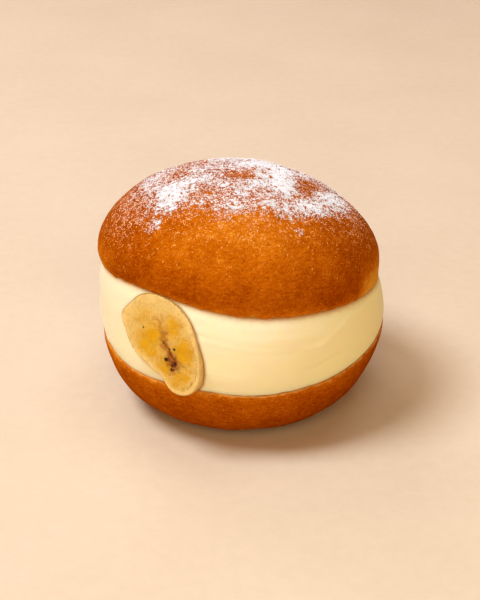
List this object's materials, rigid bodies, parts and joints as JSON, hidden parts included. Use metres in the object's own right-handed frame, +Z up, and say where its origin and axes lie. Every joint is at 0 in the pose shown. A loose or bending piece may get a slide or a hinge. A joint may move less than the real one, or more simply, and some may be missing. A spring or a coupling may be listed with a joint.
{
  "type": "cream filled split doughnut",
  "caption": "Round fried bun split across and filled with a thick bulging layer of custard cream, a banana slice set in its side and icing sugar on the crown.",
  "frame": {"origin": "on the surface the doughnut stands on, under the middle of its bounding box", "axes": "+Z up through the crown; -Y is the side with the banana slice at its left; +X is the side where the cream is thinnest"},
  "size_m": [0.0914, 0.0908, 0.0777],
  "materials": {
    "fried_crust": "satin",
    "custard_cream": "satin",
    "banana_flesh": "satin",
    "icing_sugar": "matte"
  },
  "bodies": {
    "root": {"base_bun": "fried_crust", "cream_filling": "custard_cream", "top_bun": "fried_crust", "banana_slice": "banana_flesh"}
  },
  "joints": []
}
